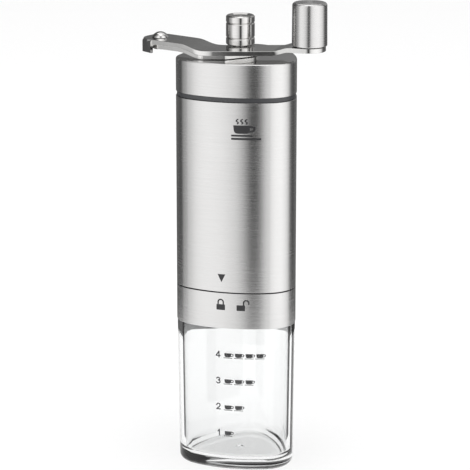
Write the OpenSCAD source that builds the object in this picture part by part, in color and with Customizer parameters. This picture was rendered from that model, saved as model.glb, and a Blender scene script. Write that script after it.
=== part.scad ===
// Hand crank coffee grinder with a folding crank, a steel-clad bean hopper, a conical burr set
// and a clear receiving jar that twists off. Millimetres, +Z up, origin on the spindle axis at
// the face the jar stands on. The flat front looks along -Y and a rounded corner points to +Y.

/* [Outline] */
// Distance from the axis to the centre of each rounded corner
corner_d = 14.9; // [13:0.1:17]
// Radius of each rounded corner
corner_r = 13.4; // [12:0.1:15]
// Radius of the three bowed sides
side_r = 47; // [44:1:70]
// Thickness of the sheet-steel cladding
skin_t = 0.7; // [0.5:0.1:1]

/* [Heights] */
// Top edge of the clear part of the jar
jar_top = 65.3; // [55:0.1:75]
// Height of the steel collar over the jar's neck
collar_h = 15.8; // [14:0.1:18]
// Height of the steel body sleeve
body_h = 83.4; // [75:0.1:110]
// Height of the visible gasket band under the lid
gasket_h = 2.2; // [1.5:0.1:3]
// Height of the steel lid
lid_h = 14.4; // [12:0.1:18]

/* [Jar] */
// Wall thickness of the jar
jar_wall = 2.6; // [2:0.1:3]
// Thickness of the jar's floor
jar_floor = 4; // [3:0.1:6]
// Radius round the jar's bottom edge
jar_edge_r = 3; // [1:0.1:3.5]
// Draft on each side from the collar down to the floor
jar_draft = 0.75; // [0:0.05:1]

/* [Crank] */
// Distance from the spindle to the folding pivot
pivot_reach = 35.3; // [34:0.1:38]
// Width of the knob arm where it passes the cap nut
arm_w = 16.2; // [15:0.1:17]
// Thickness of both crank arms
arm_t = 2; // [1.6:0.1:2.2]
// Angle of the crank about the spindle when it is at rest
crank_rest = 3; // [0:0.5:20]
// Diameter of the crank knob
knob_d = 15.2; // [13:0.1:18]
// Height of the crank knob
knob_h = 18.5; // [14:0.1:24]

/* [Cap nut] */
// Diameter of the cap nut
nut_d = 12.4; // [11:0.1:14]
// Height of the cap nut
nut_h = 12.7; // [11:0.1:16]

/* [Burrs] */
// Outer diameter of the ceramic ring burr
burr_d = 36; // [34:0.5:36]
// Number of coarse flutes in both burrs
flutes = 10; // [6:1:14]

/* [Hidden] */
$fn = 64;

// --- shared clearances ---
slip = 0.05;                                // between fixed, nested pieces
run = 0.05;                                 // radial, shaft in a bush
free = 0.3;                                 // between pieces that move past each other
bite = 0.01;                                // how far a cutter passes the face it cuts

// --- heights up the stack ---
neck_gap = 0.5;                             // open line between the collar and the body sleeve
collar_top = jar_top + collar_h;
body_bot = collar_top + neck_gap;
body_top = body_bot + body_h;
lid_bot = body_top + gasket_h;
lid_top = lid_bot + lid_h;

// --- radial build-up, as offsets inwards from the outline ---
liner_out = skin_t + slip;
liner_in = liner_out + 1.7;
plug_out = liner_in + free;

// --- jar neck, collar insert and the twist fit ---
jar_inset = 0.2;                            // the clear wall sits this far inside the collar
neck_top = jar_top + 9.7;
insert_top = collar_top - 0.4;
spigot_r = 20.2;
spigot_t = 1.8;
spigot_bot = neck_top - 1;
insert_bore_r = spigot_r + free;
lock_lug = 1.1;
open_turn = 23;                             // twist from the closed to the open mark

// --- burr set ---
burr_r = burr_d / 2;
carrier_floor = body_bot + 0.2;
carrier_plate_t = 3;
burr_bot = carrier_floor + 5;
burr_h = 14;
burr_top = burr_bot + burr_h;
cup_t = 2;
throat_r = 14;
shelf_t = 2.4;
carrier_top = burr_top + shelf_t;
hopper_floor = carrier_top + slip;
funnel_h = 12;
screw_at = 23.4;
screw_r = 1.4;
screw_boss_r = 3.1;
boss_bot = carrier_floor + carrier_plate_t + slip;
boss_h = 9;

// --- spindle ---
shaft_r = 3;
stud_r = 2;
thread_r = 2.4;
shaft_bot = burr_bot - 1.5;
spindle_bot = shaft_bot - 17.5;
hex_bot = lid_top - 3;
inner_bot = burr_bot - 1.5;
inner_top = burr_top - 2.6;
spring_seat = inner_bot + 4;
spider_bot = burr_top - 1.4;
spider_h = 7;
bush_r = 4.2;
spring_top = spider_bot - 0.8;
spring_wire = 0.8;
spring_r = 4.1;
spring_turns = 5;
bridge_bot = body_top - 22;
bridge_h = 7;

// --- crank heights; low levels are over the lid, raised ones are past the joggles ---
lid_gap = 0.25;
arm_gap = 0.1;
left_rise = 2.1;
right_rise = 1.7;
left_run = 8.5;                             // length of each step down, along the arm
right_run = 5;
step_start = 17.1;                          // from the pivot to the step
step_dir = -20;                             // square to the bend lines of the step
hub_lead = 2;                               // the hub arm steps down this much sooner
hub_z = lid_top + lid_gap;
arm_z = hub_z + arm_t + arm_gap;
knob_z = arm_z + arm_t + right_rise;
nut_z = arm_z + arm_t + 0.35;
pivot = [-pivot_reach, 0];
elbow = [-12, -11];
bend = [18, -5];
knob_at = [31.4, -7];
left_dir = heading(pivot, elbow);
right_dir = -5;
pivot_end_r = 7.2;
knob_end_r = 6.9;
neck_r = 3.2;
notch_r = neck_r + 0.7;
rivet_r = 1.8;
pin_r = 2;

// --- the rounded-triangle outline and what is drawn with it ---
side_e = sqrt(pow(side_r - corner_r, 2) - 0.75 * pow(corner_d, 2)) - corner_d / 2;
corner_turn = atan2(side_e * sin(60), corner_d + side_e * cos(60));
corner_steps = 14;
side_steps = 8;

function polar(r, a) = [r * cos(a), r * sin(a)];

function arc(centre, r, a0, a1, steps) =
    [for (i = [0:steps - 1]) centre + polar(r, a0 + (a1 - a0) * i / steps)];

// the outline moved inwards by inset
function outline(inset) = [for (k = [0:2]) let (a = 90 + 120 * k) each concat(
    arc(polar(corner_d, a), corner_r - inset, a - corner_turn, a + corner_turn, corner_steps),
    arc(-polar(side_e, a + 60), side_r - inset, a + corner_turn, a + 120 - corner_turn,
        side_steps))];

module prism(inset, z0, z1) {
    translate([0, 0, z0]) linear_extrude(z1 - z0) polygon(outline(inset));
}

module wall(inset, t, z0, z1) {
    difference() {
        prism(inset, z0, z1);
        prism(inset + t, z0 - 1, z1 + 1);
    }
}

module rod(r, z0, z1) {
    translate([0, 0, z0]) cylinder(r = r, h = z1 - z0);
}

module ring(r_out, r_in, z0, z1) {
    difference() {
        rod(r_out, z0, z1);
        rod(r_in, z0 - 1, z1 + 1);
    }
}

module at_corners(r) {
    for (k = [0:2]) rotate(90 + 120 * k) translate([r, 0, 0]) children();
}

// --- jar, collar and twist fit ---

// a drafted prism with a rounded bottom edge
module drafted(inset, draft, z0, z1, edge_r) {
    hull() {
        for (a = [0:30:90]) {
            rise = edge_r * (1 - sin(a));
            prism(inset + draft + edge_r * (1 - cos(a)), z0 + rise, z0 + rise + bite);
        }
        prism(inset, z1 - bite, z1);
    }
}

module jar() {
    color([0.85, 0.88, 0.9, 0.4]) difference() {
        union() {
            drafted(jar_inset, jar_draft, 0, jar_top, jar_edge_r);
            prism(liner_out, jar_top - 1, neck_top);
        }
        drafted(jar_inset + jar_wall, jar_draft, jar_floor, neck_top + 1, jar_wall + 1);
    }
}

module collar_shell() {
    color("silver") wall(0, skin_t, jar_top, collar_top);
}

module collar_insert() {
    ledge_bot = insert_top - 2.5;
    color([0.15, 0.15, 0.16]) difference() {
        prism(liner_out, neck_top + slip, insert_top);
        rod(insert_bore_r, neck_top - 1, insert_top + 1);
        // channel that the lugs on the spigot turn in
        rod(insert_bore_r + lock_lug, neck_top - 1, ledge_bot);
        for (turn = [0, open_turn / 2, open_turn]) rotate(turn) at_corners(insert_bore_r)
            translate([-3, -3.5, neck_top]) cube([3 + lock_lug, 7, insert_top]);
    }
}

module jar_seal() {
    color([0.12, 0.12, 0.12])
        ring(spigot_r + 2.1, spigot_r + slip, insert_top + slip, body_bot - 0.05);
}

// --- body, hopper and the fixed half of the burr set ---

module body_shell() {
    color("silver") wall(0, skin_t, body_bot, body_top);
}

module hopper_liner() {
    color([0.2, 0.2, 0.21]) {
        wall(liner_out, liner_in - liner_out, boss_bot, body_top);
        difference() {
            prism(liner_in - 0.5, hopper_floor, hopper_floor + funnel_h);
            translate([0, 0, hopper_floor + 1.2])
                cylinder(r1 = throat_r, r2 = throat_r + 1.3 * funnel_h, h = funnel_h);
            rod(throat_r, hopper_floor - 1, hopper_floor + 2);
        }
        at_corners(screw_at) ring(screw_boss_r, screw_r, boss_bot, boss_bot + boss_h);
    }
}

module burr_carrier() {
    plate_top = carrier_floor + carrier_plate_t;
    color([0.24, 0.24, 0.25]) {
        difference() {
            union() {
                prism(liner_out, carrier_floor, plate_top);
                rod(burr_r + cup_t, plate_top - 1, carrier_top);
                rod(spigot_r, spigot_bot, carrier_floor + 1);
                at_corners(0) translate([spigot_r - 1, -2.5, spigot_bot])
                    cube([1 + lock_lug - 0.1, 5, 2]);
            }
            rod(burr_r + slip, plate_top - 1, burr_top);
            rod(throat_r, burr_top - 1, carrier_top + 1);
            rod(spigot_r - spigot_t, spigot_bot - 1, burr_bot);
            at_corners(screw_at) rod(screw_r + 0.1, carrier_floor - 1, plate_top + 1);
            at_corners(screw_at) rod(2.7, carrier_floor - 1, carrier_floor + 1.5);
        }
        // spider that carries the lower bush above the burrs
        difference() {
            union() {
                rod(6, spider_bot, spider_bot + spider_h);
                for (k = [0:2]) rotate(30 + 120 * k)
                    translate([4, -1.5, burr_top]) cube([throat_r - 3, 3, shelf_t]);
            }
            rod(bush_r, spider_bot - 1, spider_bot + spider_h + 1);
        }
    }
}

module carrier_screws() {
    head_z = carrier_floor + 0.1;
    color("gainsboro") at_corners(screw_at) difference() {
        union() {
            rod(2.5, head_z, head_z + 1.4);
            rod(screw_r - 0.02, head_z + 1, head_z + 8);
        }
        translate([-3, -0.3, head_z - 1]) cube([6, 0.6, 1.5]);
        translate([-0.3, -3, head_z - 1]) cube([0.6, 6, 1.5]);
    }
}

module bearing_bridge() {
    arm_len = 23.3 - liner_in - slip;
    color([0.24, 0.24, 0.25]) difference() {
        union() {
            rod(6.5, bridge_bot, bridge_bot + bridge_h);
            for (k = [0:2]) rotate(30 + 120 * k)
                translate([0, -2, bridge_bot]) cube([arm_len, 4, bridge_h - 2]);
        }
        rod(bush_r, bridge_bot - 1, bridge_bot + bridge_h + 1);
    }
}

// plain bearing with a flange on its upper end
module bush(z0, length) {
    difference() {
        union() {
            rod(bush_r, z0, z0 + length);
            rod(bush_r + 1.2, z0 + length + slip, z0 + length + 1);
            rod(bush_r, z0 + length - 1, z0 + length + 1);
        }
        rod(shaft_r + run, z0 - 1, z0 + length + 2);
    }
}

module upper_bush() {
    color("darkgoldenrod") bush(bridge_bot, bridge_h);
}

module lower_bush() {
    color("darkgoldenrod") bush(spider_bot, spider_h);
}

module outer_burr() {
    waist_r = 11.6;
    waist_z = burr_bot + 7;
    color("ivory") difference() {
        rod(burr_r, burr_bot, burr_top);
        translate([0, 0, waist_z]) cylinder(r1 = waist_r, r2 = throat_r - 0.4, h = burr_top - waist_z + bite);
        translate([0, 0, burr_bot - bite])
            cylinder(r1 = waist_r + 1.6, r2 = waist_r, h = waist_z - burr_bot + 2 * bite);
        for (k = [0:flutes - 1]) rotate(360 * k / flutes)
            translate([9, -0.6, burr_bot - 1]) rotate([0, 0, 12]) cube([4.4, 1.2, burr_h + 2]);
    }
}

module burr_retainer() {
    color([0.24, 0.24, 0.25]) difference() {
        ring(spigot_r - spigot_t - slip, throat_r + 0.4, burr_bot - 3.2, burr_bot - slip);
        for (k = [0:3]) rotate(90 * k)
            translate([16.5, -1.5, burr_bot - 4]) cube([3, 3, 2.2]);
    }
}

// --- lid ---

module lid_cover() {
    edge = 0.6;
    color("silver") difference() {
        hull() {
            prism(0, lid_bot, lid_top - edge);
            prism(edge, lid_bot, lid_top);
        }
        prism(skin_t, lid_bot - 1, lid_top - skin_t);
        rod(bush_r + 1.4, lid_top - 2, lid_top + 1);
    }
}

module lid_insert() {
    top = lid_top - skin_t - slip;
    plug_depth = 6;
    color([0.2, 0.2, 0.21]) difference() {
        union() {
            prism(liner_out, lid_bot, top);
            prism(plug_out, lid_bot - gasket_h - plug_depth, lid_bot + 1);
        }
        prism(plug_out + 1.8, lid_bot - gasket_h - plug_depth - 1, top - 2.5);
        rod(bush_r, lid_bot, top + 1);
    }
}

module lid_bush() {
    seat = lid_top - skin_t - slip - 2.5;
    color("darkgoldenrod") difference() {
        union() {
            rod(bush_r, seat - 1, lid_top - 0.2);
            rod(bush_r + 1.2, seat - 1, seat - slip);
        }
        rod(shaft_r + run, seat - 2, lid_top + 1);
    }
}

module lid_gasket() {
    color([0.16, 0.16, 0.17])
        wall(0.4, plug_out - slip - 0.4, body_top + slip, lid_bot - slip);
}

// --- crank ---

// where the crank's own frame stands at rest
module in_crank() {
    rotate(crank_rest) children();
}

module at_point(p) {
    translate([p[0], p[1], 0]) children();
}

// unit normal to the left of the line from a to b
function left_of(a, b) = [a[1] - b[1], b[0] - a[0]] / norm(b - a);

// corner of a ribbon at p, h to the left of the lines from a and to b
function mitre(a, p, b, h) = let (m = left_of(a, p) + left_of(p, b)) p + 2 * h * m / (m * m);

function heading(a, b) = atan2(b[1] - a[1], b[0] - a[0]);

// closed outline of a ribbon along the path, w[i] wide at point i, with round ends
function ribbon(path, w) = let (
    n = len(path), h = w / 2,
    first = heading(path[0], path[1]), last = heading(path[n - 2], path[n - 1])) concat(
    arc(path[0], h[0], first + 90, first + 270, 20),
    [for (i = [1:n - 2]) mitre(path[i - 1], path[i], path[i + 1], -h[i])],
    arc(path[n - 1], h[n - 1], last - 90, last + 90, 20),
    [for (i = [n - 2:-1:1]) mitre(path[i - 1], path[i], path[i + 1], h[i])]);

// the space under a raised run and its slope, seen along the bend line; the slope goes on 1 mm down
module under_run(step_at, run, rise) {
    reach = 90;
    translate([0, reach, 0]) rotate([90, 0, 0]) linear_extrude(2 * reach) polygon([
        [-reach, -1], [step_at + run * (1 + 1 / rise), -1], [step_at, rise], [-reach, rise]]);
}

// sheet arm lying at z0: the first child is its plan, the second the space under its raised runs
module stamped(z0) {
    difference() {
        translate([0, 0, z0]) linear_extrude(8) children(0);
        translate([0, 0, z0]) children(1);
        difference() {
            translate([-60, -50, z0 + arm_t]) cube([120, 100, 9]);
            translate([0, 0, z0 + arm_t]) children(1);
        }
    }
}

module hub_arm() {
    hub_r = 7.8;
    end_r = 5.3;
    end_arc = arc(pivot, end_r, left_dir - 90, left_dir - 270, 16);
    hub_arc = arc([0, 0], hub_r, 130, -50, 24);
    color("lightgray") in_crank() difference() {
        stamped(hub_z) {
            polygon(concat(end_arc, [[-12.5, -4]], hub_arc, [[-3.6, -13.8], [-14.3, -15.7]]));
            at_point(pivot) rotate(step_dir) under_run(step_start - hub_lead, left_run, left_rise);
        }
        at_point(pivot) rod(rivet_r, hub_z - 2, hub_z + 9);
        translate([0, 0, hub_z - 1]) cylinder(r = shaft_r + 0.1, h = arm_t + 2, $fn = 6);
    }
}

module pivot_rivet() {
    arm_top = arm_z + left_rise + arm_t;
    head_r = 3.7;
    head_h = 2.4;
    dome_r = (head_r * head_r + head_h * head_h) / (2 * head_h);
    color("gainsboro") in_crank() at_point(pivot) {
        rod(rivet_r, hub_z + left_rise - 0.6, arm_top + 0.5);
        rod(3, hub_z + left_rise - 0.8, hub_z + left_rise - slip);
        intersection() {
            translate([0, 0, arm_top + 0.1 + head_h - dome_r]) sphere(r = dome_r);
            rod(head_r + 1, arm_top + 0.1, arm_top + 4);
        }
    }
}

module knob_arm() {
    tab_dir = left_dir - 107;
    tab_in = 6.1;
    tab_t = 1.4;
    tab_w = 6.2;
    tab_drop = 3.9;
    widths = [2 * pivot_end_r, arm_w, arm_w, 2 * knob_end_r];
    color("lightgray") in_crank() difference() {
        union() {
            stamped(arm_z) {
                polygon(ribbon([pivot, elbow, bend, knob_at], widths));
                union() {
                    at_point(pivot) rotate(step_dir) under_run(step_start, left_run, left_rise);
                    at_point(bend) rotate(right_dir + 180)
                        under_run(-right_run, right_run, right_rise);
                }
            }
            // stop lug folded down beside the hub arm's end
            at_point(pivot) rotate(tab_dir)
                translate([tab_in, -tab_w / 2, arm_z + left_rise - tab_drop])
                    cube([tab_t, tab_w, tab_drop + arm_t - slip]);
        }
        at_point(pivot) rod(rivet_r + run, arm_z - 1, arm_z + 9);
        at_point(knob_at) rod(pin_r, arm_z - 1, arm_z + 9);
        rod(notch_r, arm_z - 1, arm_z + 9);
    }
}

module knob_pin() {
    color("gainsboro") in_crank() at_point(knob_at) {
        rod(pin_r, arm_z + right_rise - 0.5, knob_z + 15);
        rod(3, arm_z + right_rise - 0.6, arm_z + right_rise);
        rod(3.4, knob_z + 14, knob_z + 15.2);
    }
}

module knob_washer() {
    color("dimgray") in_crank() at_point(knob_at) ring(5.4, pin_r + slip, knob_z + slip, knob_z + 0.3);
}

module knob_shell() {
    z0 = knob_z + 0.35;
    r = knob_d / 2;
    edge = 1;
    color("silver") in_crank() at_point(knob_at) rotate_extrude() polygon([
        [r - skin_t, z0], [r - 0.3, z0], [r, z0 + 0.4], [r - 0.15, z0 + knob_h - edge],
        [r - 0.15 - edge * 0.3, z0 + knob_h - edge * 0.3], [r - 0.15 - edge, z0 + knob_h],
        [0, z0 + knob_h + 0.2], [0, z0 + knob_h - skin_t], [r - skin_t - edge, z0 + knob_h - skin_t],
        [r - skin_t - 0.15, z0 + knob_h - edge - skin_t]]);
}

module knob_core() {
    z0 = knob_z + 0.4;
    color([0.15, 0.15, 0.16]) in_crank() at_point(knob_at) difference() {
        rod(knob_d / 2 - skin_t - 0.2, z0, knob_z + knob_h - 1.4);
        rod(pin_r + run, z0 - 1, knob_z + knob_h);
        rod(3.8, knob_z + 13.6, knob_z + knob_h);
    }
}

// --- cap nut and its spacer ---

module nut_collar() {
    color("gray") ring(neck_r, stud_r + 0.1, hub_z + arm_t + slip, nut_z - slip);
}

module cap_nut() {
    r = nut_d / 2;
    groove = 0.45;
    top = nut_z + nut_h;
    low = nut_z + 3.1;
    high = top - 3.2;
    color("silver") rotate_extrude() polygon([
        [stud_r + 0.1, nut_z], [r - 0.4, nut_z], [r, nut_z + 0.4],
        [r, low - groove], [r - groove, low], [r, low + groove],
        [r, high - groove], [r - groove, high], [r, high + groove],
        [r, top - 0.7], [r - 0.7, top], [r - 1.2, top], [r - 1.9, top - 0.5],
        [1, top - 0.6], [0, top - 1.2], [0, top - 3], [stud_r + 0.1, top - 3]]);
}

// --- spindle ---

module spindle() {
    stud_top = nut_z + nut_h - 4;
    color("gainsboro") difference() {
        union() {
            rod(thread_r, spindle_bot, shaft_bot + 1);
            rod(shaft_r, shaft_bot, hex_bot);
            translate([0, 0, hex_bot]) cylinder(r = shaft_r, h = hub_z + arm_t - hex_bot, $fn = 6);
            rod(stud_r, hub_z, stud_top);
        }
        ring(shaft_r + 1, shaft_r - 0.5, bridge_bot - 2.1, bridge_bot - 1.1);
    }
}

module spindle_clip() {
    color("dimgray") difference() {
        ring(5.2, shaft_r - 0.45, bridge_bot - 2, bridge_bot - 1.2);
        translate([0, -1.8, bridge_bot - 3]) cube([8, 3.6, 3]);
    }
}

module thrust_washer() {
    color("gray") ring(5.2, shaft_r + run, spring_top + slip, spring_top + 0.5);
}

// one closed tube swept along a helix, its ends flat
function coil_ring(turn, z, sides) = [for (k = [0:sides - 1]) let (a = 360 * k / sides)
    [(spring_r + spring_wire / 2 * cos(a)) * cos(turn), (spring_r + spring_wire / 2 * cos(a)) * sin(turn),
     z + spring_wire / 2 * sin(a)]];

module burr_spring() {
    sides = 8;
    steps = spring_turns * 16;
    z0 = spring_seat + spring_wire / 2 + slip;
    z1 = spring_top - spring_wire / 2 - slip;
    points = [for (i = [0:steps]) each
        coil_ring(360 * spring_turns * i / steps, z0 + (z1 - z0) * i / steps, sides)];
    sides_faces = [for (i = [0:steps - 1]) for (k = [0:sides - 1]) let (n = (k + 1) % sides)
        [i * sides + k, (i + 1) * sides + k, (i + 1) * sides + n, i * sides + n]];
    ends = [[for (k = [0:sides - 1]) k], [for (k = [sides - 1:-1:0]) steps * sides + k]];
    color("gainsboro") polyhedron(points, concat(sides_faces, ends), convexity = 6);
}

// --- moving half of the burr set ---

module inner_burr() {
    waist_z = burr_bot + 7;
    waist_r = 10.9;
    foot_r = waist_r + 1.6 + 0.35;
    color("ivory") difference() {
        union() {
            translate([0, 0, inner_bot]) cylinder(r1 = foot_r, r2 = waist_r, h = waist_z - inner_bot);
            translate([0, 0, waist_z - bite]) cylinder(r1 = waist_r, r2 = 6.4, h = inner_top - waist_z);
        }
        rod(5.1, spring_seat, inner_top + 1);
        rod(shaft_r + run, inner_bot - 1, spring_seat + 1);
        for (k = [0:flutes - 1]) rotate(360 * k / flutes)
            translate([9.2, -0.8, inner_bot + 3]) rotate([0, -22, 10]) cube([5, 1.6, 14]);
    }
}

module burr_hub() {
    color([0.24, 0.24, 0.25]) difference() {
        union() {
            rod(9, inner_bot - 4, inner_bot - slip);
            rod(5.5, inner_bot - 5, inner_bot - 3);
        }
        rod(thread_r + 0.15, inner_bot - 6, shaft_bot - 0.1);
        rod(shaft_r + run, shaft_bot - 0.1 - bite, inner_bot + 1);
    }
}

module adjuster_knob() {
    top = inner_bot - 5.3;
    color([0.15, 0.15, 0.16]) difference() {
        union() {
            rod(7.2, top - 8, top);
            for (k = [0:5]) rotate(60 * k) translate([7, 0, 0]) rod(2.2, top - 8, top - 1);
        }
        rod(4, top - 9, top + 1);
    }
}

module adjuster_nut() {
    top = inner_bot - 5.3;
    color("goldenrod") ring(4 - slip, thread_r + 0.06, top - 7.8, top - 0.2);
}

jar();
collar_shell();
collar_insert();
jar_seal();
body_shell();
hopper_liner();
burr_carrier();
carrier_screws();
bearing_bridge();
upper_bush();
lower_bush();
outer_burr();
burr_retainer();
lid_cover();
lid_insert();
lid_bush();
lid_gasket();
hub_arm();
pivot_rivet();
knob_arm();
knob_pin();
knob_washer();
knob_shell();
knob_core();
nut_collar();
cap_nut();
spindle();
spindle_clip();
thrust_washer();
burr_spring();
inner_burr();
burr_hub();
adjuster_knob();
adjuster_nut();
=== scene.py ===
"""Looks of a hand crank coffee grinder with a clear jar and a folding crank, on its CAD frame."""

import logging
import math
from dataclasses import dataclass, field
from enum import Enum
from typing import Any, Callable, Iterable, Sequence

import bmesh
import bpy
from mathutils import Matrix, Vector


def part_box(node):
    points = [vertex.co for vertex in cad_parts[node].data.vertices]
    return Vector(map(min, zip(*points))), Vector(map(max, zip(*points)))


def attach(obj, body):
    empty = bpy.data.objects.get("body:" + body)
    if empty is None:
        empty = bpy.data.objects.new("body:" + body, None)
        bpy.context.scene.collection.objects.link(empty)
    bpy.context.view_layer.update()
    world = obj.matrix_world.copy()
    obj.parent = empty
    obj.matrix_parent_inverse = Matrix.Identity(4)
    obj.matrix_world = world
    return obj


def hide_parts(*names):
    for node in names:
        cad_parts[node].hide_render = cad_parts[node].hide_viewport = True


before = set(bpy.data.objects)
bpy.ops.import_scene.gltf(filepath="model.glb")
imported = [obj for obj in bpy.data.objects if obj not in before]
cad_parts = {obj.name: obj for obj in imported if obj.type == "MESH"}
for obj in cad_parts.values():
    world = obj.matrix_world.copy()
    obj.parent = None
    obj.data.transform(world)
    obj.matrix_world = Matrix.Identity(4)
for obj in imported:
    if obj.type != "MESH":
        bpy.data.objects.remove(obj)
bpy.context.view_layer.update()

MM = 0.001
LOG = logging.getLogger("grinder")

Point2 = tuple[float, float]
Colour = tuple[float, float, float]


# --- shader arithmetic ---------------------------------------------------------------------------


class Link:
    """One output in a material's nodes, with arithmetic on plain values."""

    def __init__(self, graph: "Graph", socket: bpy.types.NodeSocket) -> None:
        """Keeps the graph it belongs to and the output it stands for."""
        self.graph = graph
        self.socket = socket

    def _maths(self, operation: str, first: Any, second: Any) -> "Link":
        """Adds one Math node.

        Args:
            operation: the Math node's operation.
            first: a Link or a number.
            second: a Link or a number.

        Returns:
            The node's result.
        """
        return self.graph.node("ShaderNodeMath", {"operation": operation}, {0: first, 1: second})

    def __add__(self, other: Any) -> "Link":
        """self + other."""
        return self._maths("ADD", self, other)

    def __radd__(self, other: Any) -> "Link":
        """other + self."""
        return self._maths("ADD", other, self)

    def __sub__(self, other: Any) -> "Link":
        """self - other."""
        return self._maths("SUBTRACT", self, other)

    def __mul__(self, other: Any) -> "Link":
        """self * other."""
        return self._maths("MULTIPLY", self, other)

    def clamped(self) -> "Link":
        """The value held between 0 and 1."""
        low = self._maths("MAXIMUM", self, 0.0)
        return low._maths("MINIMUM", low, 1.0)


class Graph:
    """The nodes of one material round a Principled shader."""

    def __init__(self, name: str) -> None:
        """Starts a material of that name with only its shader and output."""
        self.material = bpy.data.materials.new(name)
        self.material.use_nodes = True
        self.tree = self.material.node_tree
        self.shader = self.tree.nodes["Principled BSDF"]

    def node(self, kind: str, settings: dict[str, Any] | None = None,
             inputs: dict[Any, Any] | None = None, output: Any = 0) -> Link:
        """Adds a node.

        Args:
            kind: the node's type name.
            settings: attributes set before the inputs, with "stops" for a ramp's stops.
            inputs: a value or a Link for each input, by name or number.
            output: name or number of the output wanted.

        Returns:
            That output.
        """
        made = self.tree.nodes.new(kind)
        for key, value in (settings or {}).items():
            if key == "stops":
                ramp = made.color_ramp
                while len(ramp.elements) < len(value):
                    ramp.elements.new(0.5)
                for element, (position, level) in zip(ramp.elements, value):
                    element.position = position
                    element.color = (level, level, level, 1.0)
            else:
                setattr(made, key, value)
        for key, value in (inputs or {}).items():
            if isinstance(value, Link):
                self.tree.links.new(value.socket, made.inputs[key])
            else:
                made.inputs[key].default_value = value
        return Link(self, made.outputs[output])

    def place(self, scale: Sequence[float]) -> Link:
        """The object's own coordinates, stretched.

        Args:
            scale: factor on each axis, per metre.

        Returns:
            The stretched vector.
        """
        own = self.node("ShaderNodeTexCoord", output="Object")
        return self.node("ShaderNodeVectorMath", {"operation": "MULTIPLY"}, {0: own, 1: tuple(scale)})

    def noise(self, scale: Sequence[float], detail: float = 3.0) -> Link:
        """Noise between about 0.3 and 0.7, of that many features a metre on each axis."""
        return self.node("ShaderNodeTexNoise", None,
                         {"Vector": self.place(scale), "Scale": 1.0, "Detail": detail}, "Fac")

    def mix(self, amount: Any, low: Colour, high: Colour) -> Link:
        """The colour between low and high at that amount."""
        return self.node("ShaderNodeMix", {"data_type": "RGBA"},
                         {0: amount, 6: (*low, 1.0), 7: (*high, 1.0)}, 2)

    def bump(self, height: Link, distance: float, strength: float) -> Link:
        """A normal tilted by the height, with distance in metres."""
        return self.node("ShaderNodeBump", None,
                         {"Height": height, "Distance": distance, "Strength": strength})

    def feed(self, **values: Any) -> None:
        """Sets the shader's sockets; an underscore in a name stands for a space."""
        for key, value in values.items():
            socket = self.shader.inputs[key.replace("_", " ")]
            if isinstance(value, Link):
                self.tree.links.new(value.socket, socket)
            elif isinstance(value, tuple) and len(value) == 3:
                socket.default_value = (*value, 1.0)
            else:
                socket.default_value = value


# --- finishes ------------------------------------------------------------------------------------


class Grain(Enum):
    """Which way the polishing lines of a metal run, as features a metre on each axis."""

    ROUND = (60.0, 60.0, 7000.0)
    NONE = (160.0, 160.0, 160.0)


@dataclass(frozen=True)
class Finish:
    """A finish: a name for its material and how its nodes are laid."""

    name: str

    def shade(self, graph: Graph) -> None:
        """Lays the nodes."""
        raise NotImplementedError

    def material(self) -> bpy.types.Material:
        """The finish's material, made when it is first asked for."""
        found = bpy.data.materials.get(self.name)
        if found is None:
            graph = Graph(self.name)
            self.shade(graph)
            found = graph.material
        return found


@dataclass(frozen=True)
class Steel(Finish):
    """Bare steel with fine lines of the chosen grain."""

    grain: Grain = Grain.NONE
    tint: Colour = (0.66, 0.655, 0.65)
    rough: float = 0.2
    rough_spread: float = 0.1
    stretch: float = 0.0
    lines: float = 0.12

    def shade(self, graph: Graph) -> None:
        """Lines in colour, roughness and height, over slow cloudy changes."""
        line = graph.noise(self.grain.value, 4.0)
        cloud = graph.noise((55.0, 55.0, 40.0), 2.0)
        streak = ((line - 0.5) * 1.4 + (cloud - 0.5) * 0.4 + 0.5).clamped()
        dim = tuple(c * 0.93 for c in self.tint)
        lit = tuple(min(1.0, c * 1.06) for c in self.tint)
        graph.feed(
            Base_Color=graph.mix(streak, dim, lit),
            Metallic=1.0,
            Roughness=(self.rough + (streak - 0.5) * self.rough_spread).clamped(),
            Anisotropic=self.stretch,
            Anisotropic_Rotation=0.25 if self.stretch else 0.0,
            Normal=graph.bump(line, 0.00002, self.lines),
        )


@dataclass(frozen=True)
class Plastic(Finish):
    """Moulded plastic or rubber with a fine grain."""

    tint: Colour = (0.03, 0.03, 0.032)
    rough: float = 0.4
    grit: float = 900.0
    coat: float = 0.0

    def shade(self, graph: Graph) -> None:
        """Fine moulded grain with a little cloudiness."""
        grit = graph.noise((self.grit,) * 3, 3.0)
        cloud = graph.noise((70.0,) * 3, 2.0)
        graph.feed(
            Base_Color=graph.mix(cloud, tuple(c * 0.8 for c in self.tint),
                                 tuple(min(1.0, c * 1.25) for c in self.tint)),
            Roughness=(self.rough + (cloud - 0.5) * 0.2 + (grit - 0.5) * 0.1).clamped(),
            Normal=graph.bump(grit, 0.00005, 0.25),
            Coat_Weight=self.coat,
        )


@dataclass(frozen=True)
class Clear(Finish):
    """Clear moulded plastic that light passes."""

    tint: Colour = (0.985, 0.99, 0.99)
    rough: float = 0.0
    index: float = 1.5

    def shade(self, graph: Graph) -> None:
        """Clear, with the slightest waviness of a moulded wall."""
        wave = graph.noise((60.0, 60.0, 25.0), 1.0)
        graph.feed(Base_Color=self.tint, Roughness=(self.rough + wave * 0.012).clamped(),
                   Transmission_Weight=1.0, IOR=self.index,
                   Normal=graph.bump(wave, 0.0002, 0.06))


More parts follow.
